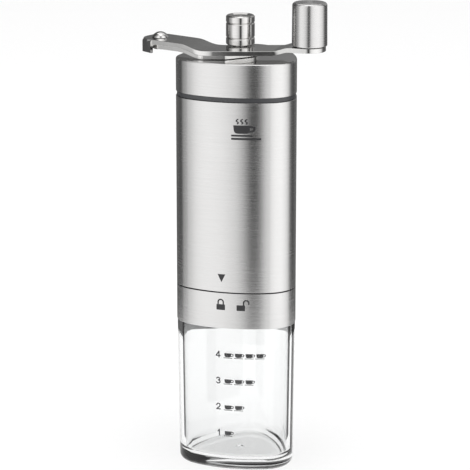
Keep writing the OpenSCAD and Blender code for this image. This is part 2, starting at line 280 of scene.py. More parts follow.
@dataclass(frozen=True)
class Ceramic(Finish):
    """Fired ceramic, cream white and slightly speckled."""

    def shade(self, graph: Graph) -> None:
        """Speckle in colour and height."""
        speck = graph.noise((1400.0,) * 3, 4.0)
        graph.feed(Base_Color=graph.mix(speck, (0.7, 0.66, 0.57), (0.86, 0.84, 0.78)),
                   Roughness=(0.35 + (speck - 0.5) * 0.3).clamped(),
                   Normal=graph.bump(speck, 0.00004, 0.3))


@dataclass(frozen=True)
class Glow(Finish):
    """A studio card that gives light, its level stepped along its length."""

    stops: tuple[Point2, ...] = ((0.0, 1.0), (1.0, 1.0))
    power: float = 1.0

    def shade(self, graph: Graph) -> None:
        """Light only, laid along the card's length."""
        own = graph.node("ShaderNodeTexCoord", output="UV")
        along = graph.node("ShaderNodeSeparateXYZ", None, {0: own}, "X")
        graph.feed(Base_Color=(0.0, 0.0, 0.0), Roughness=1.0, Specular_IOR_Level=0.0,
                   Emission_Color=graph.node("ShaderNodeValToRGB", {"stops": self.stops},
                                             {0: along}),
                   Emission_Strength=self.power)


@dataclass(frozen=True)
class Paper(Finish):
    """The pale floor."""

    def shade(self, graph: Graph) -> None:
        """Pale, with a faint tooth."""
        tooth = graph.noise((300.0,) * 3, 3.0)
        graph.feed(Base_Color=graph.mix(tooth, (0.93, 0.93, 0.93), (0.96, 0.96, 0.96)),
                   Roughness=0.75, Specular_IOR_Level=0.15)


SLEEVE_STEEL = Steel("sleeve steel", Grain.ROUND, (0.70, 0.695, 0.69), 0.25, 0.1, 0.8, 0.16)
KNOB_STEEL = Steel("knob steel", Grain.ROUND, (0.68, 0.675, 0.67), 0.27, 0.1, 0.75, 0.2)
NUT_STEEL = Steel("nut steel", Grain.ROUND, (0.72, 0.71, 0.7), 0.13, 0.06, 0.5, 0.08)
LID_TOP_STEEL = Steel("lid top steel", Grain.NONE, (0.72, 0.715, 0.71), 0.08, 0.05, 0.0, 0.02)
ARM_STEEL = Steel("arm steel", Grain.NONE, (0.74, 0.735, 0.725), 0.13, 0.07, 0.0, 0.04)
SPINDLE_STEEL = Steel("spindle steel", Grain.ROUND, (0.6, 0.6, 0.6), 0.3, 0.1, 0.3, 0.1)
BRONZE = Steel("bronze", Grain.ROUND, (0.55, 0.36, 0.16), 0.35, 0.1, 0.3, 0.1)
BRASS = Steel("brass", Grain.ROUND, (0.78, 0.6, 0.3), 0.3, 0.1, 0.2, 0.1)
CLEAR = Clear("clear plastic")
DARK_PLASTIC = Plastic("dark plastic", (0.028, 0.028, 0.03), 0.42)
SMOKE_PLASTIC = Plastic("smoke plastic", (0.045, 0.046, 0.05), 0.3, 900.0, 0.2)
SEAL_RUBBER = Plastic("seal rubber", (0.02, 0.02, 0.02), 0.6)
PRINT_INK = Plastic("print ink", (0.022, 0.022, 0.024), 0.45, 1500.0)
CERAMIC = Ceramic("ceramic")


# --- mesh making ---------------------------------------------------------------------------------


def fillet(corners: Sequence[tuple[float, float, float]], steps: int = 5,
           closed: bool = True) -> list[Point2]:
    """Rounds the corners of a path.

    Args:
        corners: x, y and rounding radius of each corner.
        steps: segments in each rounding.
        closed: whether the last corner joins the first.

    Returns:
        The points of the rounded path.
    """
    out: list[Point2] = []
    count = len(corners)
    for i, (x, y, r) in enumerate(corners):
        here = Vector((x, y))
        if r <= 0 or (not closed and i in (0, count - 1)):
            out.append((x, y))
            continue
        before = (Vector(corners[i - 1][:2]) - here).normalized()
        after = (Vector(corners[(i + 1) % count][:2]) - here).normalized()
        half = before.angle(after) / 2
        if half > math.pi / 2 - 1e-3:
            out.append((x, y))
            continue
        centre = here + (before + after).normalized() * (r / math.sin(half))
        start = here + before * (r / math.tan(half)) - centre
        end = here + after * (r / math.tan(half)) - centre
        turn = math.atan2(start.x * end.y - start.y * end.x, start.dot(end))
        for k in range(steps + 1):
            point = centre + Matrix.Rotation(turn * k / steps, 2) @ start
            out.append((point.x, point.y))
    return out


@dataclass(frozen=True)
class Outline:
    """The rounded triangle that the jar, the body and the lid share, in millimetres."""

    corner_d: float = 14.9
    corner_r: float = 13.4
    side_r: float = 47.0
    corner_steps: int = 40
    side_steps: int = 26

    @property
    def side_e(self) -> float:
        """How far the centre of a bowed side lies behind the axis."""
        reach = (self.side_r - self.corner_r) ** 2 - 0.75 * self.corner_d ** 2
        return math.sqrt(reach) - self.corner_d / 2

    def ring(self, inset: float, z: float) -> list[Vector]:
        """The outline moved inwards.

        Args:
            inset: how far inwards.
            z: height of the ring.

        Returns:
            Its points, anticlockwise.
        """
        e = self.side_e
        turn = math.degrees(math.atan2(e * math.sin(math.radians(60)),
                                       self.corner_d + e * math.cos(math.radians(60))))
        points = []
        for k in range(3):
            a = 90 + 120 * k
            for centre_r, centre_a, r, a0, a1, steps in (
                    (self.corner_d, a, self.corner_r - inset, a - turn, a + turn, self.corner_steps),
                    (-e, a + 60, self.side_r - inset, a + turn, a + 120 - turn, self.side_steps)):
                cx = centre_r * math.cos(math.radians(centre_a))
                cy = centre_r * math.sin(math.radians(centre_a))
                for i in range(steps):
                    t = math.radians(a0 + (a1 - a0) * i / steps)
                    points.append(Vector((cx + r * math.cos(t), cy + r * math.sin(t), z)))
        return points

    def towards_circle(self, inset: float, r: float, share: float, z: float) -> list[Vector]:
        """A ring part of the way from the outline to a circle.

        Args:
            inset: the outline's inset.
            r: the circle's radius.
            share: 0 for the outline and 1 for the circle.
            z: height of the ring.

        Returns:
            Its points, in the outline's order.
        """
        out = []
        for p in self.ring(inset, z):
            flat = Vector((p.x, p.y, 0)).normalized() * r
            out.append(Vector((p.x + (flat.x - p.x) * share, p.y + (flat.y - p.y) * share, z)))
        return out

    def front(self, s: float, z: float, inset: float) -> Vector:
        """The point s along the flat front from its middle, at that height and inset."""
        turn = s / self.side_r
        r = self.side_r - inset
        return Vector((r * math.sin(turn), self.side_e - r * math.cos(turn), z))


OUTLINE = Outline()


def linked(name: str, data: bpy.types.ID | bmesh.types.BMesh) -> bpy.types.Object:
    """Links a new object to the scene.

    Args:
        name: the object's name.
        data: its data, or a mesh in metres that is still being made, which is freed.

    Returns:
        The object.
    """
    if isinstance(data, bmesh.types.BMesh):
        mesh = bpy.data.meshes.new(name)
        data.to_mesh(mesh)
        data.free()
        data = mesh
    made = bpy.data.objects.new(name, data)
    bpy.context.scene.collection.objects.link(made)
    return made


def pour(part: bmesh.types.BMesh, bm: bmesh.types.BMesh) -> None:
    """Adds one mesh to another and frees it."""
    kept = bpy.data.meshes.new("part")
    part.to_mesh(kept)
    part.free()
    bm.from_mesh(kept)
    bpy.data.meshes.remove(kept)


class Maker:
    """Turns points in millimetres into mesh objects in metres."""

    @staticmethod
    def finish(name: str, bm: bmesh.types.BMesh, sharp: float = 40.0) -> bpy.types.Object:
        """Makes an object of a mesh.

        Args:
            name: the object's name.
            bm: the mesh, in millimetres; it is freed.
            sharp: edges that turn by more degrees than this stay sharp.

        Returns:
            The object, in metres, linked to the scene.
        """
        bmesh.ops.remove_doubles(bm, verts=bm.verts[:], dist=1e-4)
        bmesh.ops.recalc_face_normals(bm, faces=bm.faces[:])
        bmesh.ops.scale(bm, vec=(MM, MM, MM), verts=bm.verts[:])
        made = linked(name, bm)
        for polygon in made.data.polygons:
            polygon.use_smooth = True
        made.data.set_sharp_from_angle(angle=math.radians(sharp))
        weighted = made.modifiers.new("even normals", "WEIGHTED_NORMAL")
        weighted.keep_sharp = True
        return made

    @staticmethod
    def loft(bm: bmesh.types.BMesh, rings: Sequence[Sequence[Vector]], closed: bool) -> None:
        """Joins rings of equal count with faces.

        Args:
            bm: the mesh they are added to.
            rings: the rings in order.
            closed: whether the last ring joins the first; otherwise both ends are closed by fans.
        """
        rows = [[bm.verts.new(p) for p in ring] for ring in rings]
        count = len(rings[0])
        pairs = list(zip(rows, rows[1:])) + ([(rows[-1], rows[0])] if closed else [])
        for low, high in pairs:
            for i in range(count):
                n = (i + 1) % count
                bm.faces.new((low[i], low[n], high[n], high[i]))
        if not closed:
            for row, ring in ((rows[0], rings[0]), (rows[-1], rings[-1])):
                middle = bm.verts.new(sum(ring, Vector()) / count)
                for i in range(count):
                    bm.faces.new((row[i], row[(i + 1) % count], middle))

    @classmethod
    def shell(cls, name: str, profile: Iterable[Point2]) -> bpy.types.Object:
        """A wall that follows the outline.

        Args:
            name: the object's name.
            profile: inset and height of each ring, round the wall's section.

        Returns:
            The object.
        """
        bm = bmesh.new()
        cls.loft(bm, [OUTLINE.ring(u, z) for u, z in profile], True)
        return cls.finish(name, bm)

    @classmethod
    def turned(cls, name: str, profile: Sequence[Point2], at: Point2 = (0.0, 0.0),
               steps: int = 96, sharp: float = 40.0) -> bpy.types.Object:
        """A piece turned about an upright axis.

        Args:
            name: the object's name.
            profile: radius and height of each ring; it is closed where it doesn't start and
                end on the axis.
            at: where the axis stands.
            steps: segments round it.
            sharp: edges that turn by more degrees than this stay sharp.

        Returns:
            The object.
        """
        bm = bmesh.new()
        rings = [[Vector((at[0] + r * math.cos(math.tau * i / steps),
                          at[1] + r * math.sin(math.tau * i / steps), z)) for i in range(steps)]
                 for r, z in profile]
        on_axis = profile[0][0] < 1e-6 and profile[-1][0] < 1e-6
        cls.loft(bm, rings, not on_axis)
        if on_axis:
            bmesh.ops.remove_doubles(bm, verts=bm.verts[:], dist=1e-5)
        return cls.finish(name, bm, sharp)

    @classmethod
    def plate(cls, bm: bmesh.types.BMesh, plan: Sequence[Point2], thickness: float, edge: float,
              lift: Callable[[float, float], float],
              cuts: Sequence[tuple[Point2, float]]) -> None:
        """A sheet with rounded edges, lifted by a function of its plan.

        Args:
            bm: the mesh it is added to.
            plan: outline of the sheet, anticlockwise.
            thickness: thickness of the sheet.
            edge: rounding of its edges.
            lift: height of the sheet's under face at x and y.
            cuts: a point on each line that the sheet may bend at, and the direction square to it.
        """
        part = bmesh.new()
        part.faces.new([part.verts.new((x, y, 0.0)) for x, y in plan])
        for (x, y), direction in cuts:
            a = math.radians(direction)
            bmesh.ops.bisect_plane(part, geom=part.verts[:] + part.edges[:] + part.faces[:],
                                   dist=1e-5, plane_co=(x, y, 0.0),
                                   plane_no=(math.cos(a), math.sin(a), 0.0))
        grown = bmesh.ops.extrude_face_region(part, geom=part.faces[:])["geom"]
        for v in grown:
            if isinstance(v, bmesh.types.BMVert):
                v.co.z += thickness
        bmesh.ops.recalc_face_normals(part, faces=part.faces[:])
        rim = [e for e in part.edges if len(e.link_faces) == 2
               and abs(e.verts[0].co.z - e.verts[1].co.z) < 1e-6
               and abs(e.link_faces[0].normal.z) + abs(e.link_faces[1].normal.z) < 1.5
               and abs(e.link_faces[0].normal.z) + abs(e.link_faces[1].normal.z) > 0.5]
        bmesh.ops.bevel(part, geom=rim, offset=edge, segments=3, profile=0.5, affect="EDGES",
                        clamp_overlap=True)
        for v in part.verts:
            v.co.z += lift(v.co.x, v.co.y)
        pour(part, bm)


def dress(piece: bpy.types.Object, finish: Finish) -> bpy.types.Object:
    """Gives a piece one finish, and returns it."""
    piece.data.materials.clear()
    piece.data.materials.append(finish.material())
    return piece


def mount(piece: bpy.types.Object, body: str, *nodes: str) -> bpy.types.Object:
    """Rides a piece on a body in place of these CAD nodes, and returns it."""
    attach(piece, body)
    if nodes:
        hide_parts(*nodes)
    LOG.info("%s rides on %s", piece.name, body)
    return piece


def dress_nodes(finish: Finish, *nodes: str) -> None:
    """Gives CAD nodes that stay as they are one finish."""
    for node in nodes:
        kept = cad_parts[node]
        kept.data.materials.clear()
        kept.data.materials.append(finish.material())
        LOG.info("%s keeps its CAD mesh, in %s", node, finish.name)


def steel_wall(name: str, node: str, body: str) -> bpy.types.Object:
    """A brushed steel wall along the outline, as high as a CAD node that it replaces.

    Args:
        name: the object's name.
        node: the CAD node.
        body: the body it rides on.

    Returns:
        The object.
    """
    skin, edge = 0.7, 0.18
    low, high = (c.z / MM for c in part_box(node))
    profile = fillet([(0.0, low, edge), (0.0, high, edge), (skin, high, edge), (skin, low, edge)], 3)
    return mount(dress(Maker.shell(name, profile), SLEEVE_STEEL), body, node)


# --- printed marks -------------------------------------------------------------------------------


class Mark(Enum):
    """What a printed mark shows."""

    TRIANGLE = "triangle"
    CLOSED_LOCK = "closed_lock"
    OPEN_LOCK = "open_lock"
    CUP = "cup"
    STEAMING_CUP = "steaming_cup"
    BAR = "bar"


DIGITS: dict[int, tuple[tuple[Point2, ...], ...]] = {
    1: (((-0.1, 0.62), (0.14, 0.9), (0.14, -0.02)),),
    2: (((-0.28, 0.64), (-0.2, 0.84), (0.0, 0.92), (0.22, 0.84), (0.28, 0.64), (0.16, 0.42),
         (-0.28, 0.04), (0.32, 0.04)),),
    3: (((-0.27, 0.74), (-0.12, 0.9), (0.1, 0.9), (0.25, 0.76), (0.22, 0.58), (0.0, 0.5),
         (0.25, 0.4), (0.29, 0.2), (0.14, 0.03), (-0.1, 0.02), (-0.29, 0.18)),),
    4: (((0.14, -0.02), (0.14, 0.92), (-0.32, 0.24), (0.34, 0.24)),),
}


@dataclass
class Printer:
    """Lays printed marks on the flat front, as thin faces just over the surface."""

    body: str
    slot: str
    inset: Callable[[float], float]
    proud: float = 0.004
    stroke_w: float = 0.52

    def stroke(self, path: Sequence[Point2], width: float) -> list[list[Point2]]:
        """A line drawn as one four-sided piece for each stretch, with round-ish joints.

        Args:
            path: the line's points.
            width: its width.

        Returns:
            The pieces.
        """
        pieces = []
        for (x0, y0), (x1, y1) in zip(path, path[1:]):
            run = Vector((x1 - x0, y1 - y0))
            along = run.normalized() * (width * 0.3)
            side = Vector((-run.y, run.x)).normalized() * (width / 2)
            a, b = Vector((x0, y0)) - along, Vector((x1, y1)) + along
            pieces.append([tuple(a + side), tuple(a - side), tuple(b - side), tuple(b + side)])
        return pieces

    def shape(self, mark: Mark, w: float, h: float) -> list[list[Point2]]:
        """The pieces of a mark round its own middle.

        Args:
            mark: what it shows.
            w: its width.
            h: its height.

        Returns:
            Outlines, each a simple polygon.
        """
        if mark is Mark.TRIANGLE:
            return [[(-w / 2, h / 2), (0.0, -h / 2), (w / 2, h / 2)]]
        if mark is Mark.BAR:
            return [fillet([(-w / 2, -h / 2, h * 0.45), (w / 2, -h / 2, h * 0.45),
                            (w / 2, h / 2, h * 0.45), (-w / 2, h / 2, h * 0.45)])]
        if mark in (Mark.CLOSED_LOCK, Mark.OPEN_LOCK):
            box_w = w if mark is Mark.CLOSED_LOCK else w * 0.66
            left = -w / 2
            box = fillet([(left, -h / 2, 0.3), (left + box_w, -h / 2, 0.3),
                          (left + box_w, 0.02 * h, 0.3), (left, 0.02 * h, 0.3)])
            middle = left + box_w / 2 + (0.0 if mark is Mark.CLOSED_LOCK else w * 0.42)
            r = box_w * 0.3
            bow = [(middle - r, 0.0), (middle - r, h / 2 - r)]
            bow += [(middle - r * math.cos(math.pi * i / 10),
                     h / 2 - r + r * math.sin(math.pi * i / 10) - 0.2) for i in range(11)]
            bow += [(middle + r, h / 2 - r), (middle + r, 0.0 if mark is Mark.CLOSED_LOCK else h * 0.12)]
            return [box] + self.stroke(bow, 0.62)
        bowl_w, bowl_h = w * 0.66, h * (0.62 if mark is Mark.CUP else 0.45)
        base = -h / 2 + h * 0.16
        bowl = fillet([(-w / 2 + 0.1 * w, base, bowl_h * 0.45),
                       (-w / 2 + 0.1 * w + bowl_w, base, bowl_h * 0.45),
                       (-w / 2 + 0.06 * w + bowl_w * 1.12, base + bowl_h, 0.0),
                       (-w / 2 + 0.1 * w - bowl_w * 0.05, base + bowl_h, 0.0)])
        hx = -w / 2 + 0.12 * w + bowl_w
        handle = [(hx, base + bowl_h * 0.85), (hx + 0.2 * w, base + bowl_h * 0.75),
                  (hx + 0.18 * w, base + bowl_h * 0.4), (hx - 0.02 * w, base + bowl_h * 0.25)]
        saucer = [(-w / 2, -h / 2 + 0.05 * h), (w * 0.36, -h / 2 + 0.05 * h)]
        pieces = [bowl] + self.stroke(handle, w * 0.08) + self.stroke(saucer, h * 0.1)
        if mark is Mark.STEAMING_CUP:
            for k in (-1, 0, 1):
                x = -0.07 * w + k * 0.19 * w
                wave = [(x + 0.045 * w * math.sin(math.tau * i / 8), base + bowl_h + h * (0.08 + 0.028 * i))
                        for i in range(10)]
                pieces += self.stroke(wave, w * 0.055)
        return pieces

    def press(self, name: str, pieces: Iterable[Sequence[Point2]], s: float, z: float) -> None:
        """Lays pieces on the front.

        Args:
            name: the object's name.
            pieces: outlines round the mark's middle.
            s: distance along the front from its middle.
            z: height of the mark's middle.
        """
        bm = bmesh.new()
        for outline in pieces:
            part = bmesh.new()
            part.faces.new([part.verts.new((x, 0.0, y)) for x, y in outline])
            low, high = min(p[0] for p in outline), max(p[0] for p in outline)
            for k in range(1, int((high - low) / 0.8) + 1):
                bmesh.ops.bisect_plane(part, geom=part.verts[:] + part.edges[:] + part.faces[:],
                                       dist=1e-5, plane_co=(low + 0.8 * k, 0, 0), plane_no=(1, 0, 0))
            for v in part.verts:
                height = z + v.co.z
                v.co = OUTLINE.front(s + v.co.x, height, self.inset(height) - self.proud)
            for face in part.faces:
                face.normal_update()
                if face.normal.y > 0:
                    face.normal_flip()
            pour(part, bm)
        bmesh.ops.scale(bm, vec=(MM, MM, MM), verts=bm.verts[:])
        mount(dress(linked(name, bm), PRINT_INK), self.body)

    def digit(self, value: int, size: float) -> list[list[Point2]]:
        """The strokes of a digit of that height, round its middle."""
        return [piece for path in DIGITS[value]
                for piece in self.stroke([(x * size, (y - 0.45) * size) for x, y in path], self.stroke_w)]


# --- the jar and its collar ----------------------------------------------------------------------


@dataclass
class Jar:
    """The clear jar with its printed cup scale."""

    wall: float = 2.6
    floor: float = 4.0
    inset: float = 0.2
    draft: float = 0.75
    edge_r: float = 3.0
    top: float = 65.3
    neck_top: float = 75.0
    neck_inset: float = 0.75
    gate_r: float = 1.6
    first_row: float = 17.4
    row_pitch: float = 11.97
    cup_s: tuple[float, ...] = (0.65, 5.4, 10.1, 14.85)

    def outer_inset(self, z: float) -> float:
        """The outer wall's inset at that height."""
        low = self.edge_r
        return self.inset + self.draft * max(0.0, min(1.0, (self.top - z) / (self.top - low)))

    def build(self) -> bpy.types.Object:
        """The jar as one closed wall, with a filleted floor and the mark of its moulding gate."""
        inner_r = self.wall + 1.0
        low_out = self.inset + self.draft
        low_in = low_out + self.wall
        outside = fillet([
            (9.0, 0.0, 0.0), (low_out, 0.0, self.edge_r), (self.inset, self.top, 0.15),
            (self.neck_inset, self.top, 0.1), (self.neck_inset, self.neck_top, 0.3),
            (self.inset + self.wall, self.neck_top, 0.3), (low_in, self.floor, inner_r),
            (9.5, self.floor, 0.0)], 9, False)
        rings = [OUTLINE.towards_circle(9.0, 0.5, share, 0.0) for share in (1.0, 0.5)]
        rings += [OUTLINE.ring(u, z) for u, z in outside]
        rings += [OUTLINE.towards_circle(9.5, self.gate_r, share, self.floor) for share in (0.5, 1.0)]
        rings += [OUTLINE.towards_circle(9.5, r, 1.0, z) for r, z in
                  ((self.gate_r - 0.25, self.floor - 0.35), (0.5, self.floor - 0.4))]
        bm = bmesh.new()
        Maker.loft(bm, rings, False)
        piece = Maker.finish("jar_clear", bm)
        piece.visible_shadow = False
        piece.visible_diffuse = False
        return mount(dress(piece, CLEAR), "jar", "jar")

    def print_scale(self) -> None:
        """A numeral and that many cups on each row."""
        printer = Printer("jar", "clear_plastic", self.outer_inset)
        for row in range(1, 5):
            z = self.first_row + self.row_pitch * (row - 1)
            printer.press(f"scale_digit_{row}", printer.digit(row, 2.9), -4.1, z)
            for k in range(row):
                printer.press(f"scale_cup_{row}_{k + 1}", printer.shape(Mark.CUP, 4.4, 3.0),
                              self.cup_s[k], z - 0.1)


@dataclass
class Collar:
    """The steel collar on the jar's neck, with the padlock marks and the parts inside it."""

    def build(self) -> bpy.types.Object:
        """The collar's wall."""
        return steel_wall("collar_sleeve", "collar_shell", "jar")

    def print_marks(self) -> None:
        """A closed and an open padlock."""
        printer = Printer("jar", "brushed_steel", lambda z: 0.0)
        printer.press("mark_closed_lock", printer.shape(Mark.CLOSED_LOCK, 3.9, 4.9), -2.75, 76.0)
        printer.press("mark_open_lock", printer.shape(Mark.OPEN_LOCK, 5.6, 4.9), 7.1, 76.0)

    def dress_inside(self) -> None:
        """Dresses the twist-lock insert and the seal."""
        dress_nodes(DARK_PLASTIC, "collar_insert")
        dress_nodes(SEAL_RUBBER, "jar_seal")


# --- the body and the lid ------------------------------------------------------------------------


@dataclass
class Body:
    """The steel sleeve with its marks, and the hopper and burrs inside it."""

    def build(self) -> bpy.types.Object:
        """The sleeve's wall."""
        return steel_wall("body_sleeve", "body_shell", "housing")

    def print_marks(self) -> None:
        """The pointer over the collar, and a cup with steam over a plain bar."""
        printer = Printer("housing", "brushed_steel", lambda z: 0.0)
        printer.press("mark_pointer", printer.shape(Mark.TRIANGLE, 3.5, 3.6), -2.4, 87.8)
        printer.press("mark_cup", printer.shape(Mark.STEAMING_CUP, 10.0, 8.0), 7.2, 154.6)
        printer.press("mark_bar", printer.shape(Mark.BAR, 13.0, 0.9), 8.4, 149.6)

    def dress_inside(self) -> None:
        """Dresses the liner, the carrier, the bearings and the burr set."""
        dress_nodes(DARK_PLASTIC, "hopper_liner", "burr_carrier", "bearing_bridge",
                    "burr_retainer", "burr_hub", "adjuster_knob")
        dress_nodes(BRONZE, "upper_bush", "lower_bush", "lid_bush")
        dress_nodes(CERAMIC, "outer_burr", "inner_burr")
        dress_nodes(SPINDLE_STEEL, "carrier_screws", "spindle", "spindle_clip", "thrust_washer",
                    "burr_spring")
        dress_nodes(BRASS, "adjuster_nut")


@dataclass
class Lid:
    """The steel lid over its smoke-coloured gasket."""

    skin: float = 0.7
    edge: float = 0.8
    hole_r: float = 5.6

    def build(self) -> bpy.types.Object:
        """The cover, with a brushed side and a polished top."""
        low, high = (c.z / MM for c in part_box("lid_cover"))
        under = high - self.skin
        around = fillet([(0.0, low, 0.15), (0.0, high, self.edge), (3.0, high, 0.0)], 7, False)
        within = fillet([(3.0, under, 0.0), (self.skin, under, 0.4), (self.skin, low, 0.15)], 4, False)
        rings = [OUTLINE.ring(u, z) for u, z in around]
        rings += [OUTLINE.towards_circle(3.0, self.hole_r, t, high) for t in (0.33, 0.66, 1.0)]
        rings += [OUTLINE.towards_circle(3.0, self.hole_r, t, under) for t in (1.0, 0.5)]
        rings += [OUTLINE.ring(u, z) for u, z in within]
        bm = bmesh.new()
        Maker.loft(bm, rings, True)
        piece = dress(Maker.finish("lid_cover_steel", bm), SLEEVE_STEEL)
        piece.data.materials.append(LID_TOP_STEEL.material())
        for polygon in piece.data.polygons:
            polygon.material_index = 1 if polygon.normal.z > 0.75 else 0
        return mount(piece, "lid", "lid_cover")

    def build_gasket(self) -> bpy.types.Object:
        """The band between the lid and the sleeve, softly rounded on its outside."""
        low, high = (c.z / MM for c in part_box("lid_gasket"))
        profile = fillet([(0.42, low, 0.35), (0.42, high, 0.35), (2.6, high, 0.1), (2.6, low, 0.1)], 3)
        piece = Maker.shell("lid_gasket_band", profile)
        return mount(dress(piece, SMOKE_PLASTIC), "lid", "lid_gasket")

    def dress_inside(self) -> None:
        """Dresses the insert."""
        dress_nodes(DARK_PLASTIC, "lid_insert")


# --- the crank -----------------------------------------------------------------------------------


def eased(t: float, soft: float) -> float:
    """A ramp from 1 at t = 0 to 0 at t = 1, rounded over soft at both ends."""
    def under(x: float) -> float:
        """The area under a ramp's rounded start."""
        if x <= -soft:
            return 0.0
        if x >= soft:
            return x
        return (x + soft) ** 2 / (4 * soft)
    return 1.0 - (under(t) - under(t - 1.0))


@dataclass
class CrankPlan:
    """Where the crank's pieces stand at rest, in millimetres in its own frame."""

    rest: float = 3.0
    pivot: Point2 = (-35.3, 0.0)
    elbow: Point2 = (-12.0, -11.0)
    bend: Point2 = (18.0, -5.0)
    knob: Point2 = (31.4, -7.0)
    thickness: float = 2.0
    left_rise: float = 2.1
    right_rise: float = 1.7
    left_run: float = 8.5
    right_run: float = 5.0
    step_start: float = 17.1
    step_dir: float = -20.0
    right_dir: float = -5.0
    soft: float = 0.3

    @property
    def heading(self) -> float:
        """Direction from the pivot to the elbow, in degrees."""
        return math.degrees(math.atan2(self.elbow[1] - self.pivot[1], self.elbow[0] - self.pivot[0]))

    def world(self, x: float, y: float) -> Point2:
        """A point of the crank's frame where it stands at rest."""
        c, s = math.cos(math.radians(self.rest)), math.sin(math.radians(self.rest))
        return x * c - y * s, x * s + y * c

    def left_lift(self, x: float, y: float, lead: float) -> float:
        """Height that the step by the pivot gives at x and y, lead earlier along the arm."""
        a = math.radians(self.step_dir)
        u = (x - self.pivot[0]) * math.cos(a) + (y - self.pivot[1]) * math.sin(a)
        return self.left_rise * eased((u - self.step_start + lead) / self.left_run, self.soft)

    def right_lift(self, x: float, y: float) -> float:
        """Height that the step by the knob gives at x and y."""
        a = math.radians(self.right_dir + 180)
        u = (x - self.bend[0]) * math.cos(a) + (y - self.bend[1]) * math.sin(a)
        return self.right_rise * eased((u + self.right_run) / self.right_run, self.soft)

    def cuts(self, at: Point2, direction: float, start: float, run: float) -> list[tuple[Point2, float]]:
        """Lines that a sheet bends at over one step.

        Args:
            at: the point that the step is measured from.
            direction: direction along the arm, in degrees.
            start: distance from at to the step.
            run: the step's length.

        Returns:
            A point and a direction for each line.
        """
        a = math.radians(direction)
        pad = self.soft * run
        count = 16
        return [((at[0] + math.cos(a) * u, at[1] + math.sin(a) * u), direction)
                for u in (start - pad + (run + 2 * pad) * i / count for i in range(count + 1))]


CRANK = CrankPlan()


def stamped(name: str, bm: bmesh.types.BMesh, body: str, node: str) -> bpy.types.Object:
    """Makes an arm of a mesh in the crank's frame, turned to where it stands at rest.

    Args:
        name: the object's name.
        bm: the mesh, in millimetres.
        body: the body it rides on.
        node: the CAD node it replaces.

    Returns:
        The object.
    """
    bmesh.ops.rotate(bm, cent=(0, 0, 0), matrix=Matrix.Rotation(math.radians(CRANK.rest), 3, "Z"),
                     verts=bm.verts[:])
    return mount(dress(Maker.finish(name, bm, 50.0), ARM_STEEL), body, node)


def ray(a: Point2, b: Point2) -> Vector:
    """Unit vector from a to b."""
    return (Vector(b) - Vector(a)).normalized()


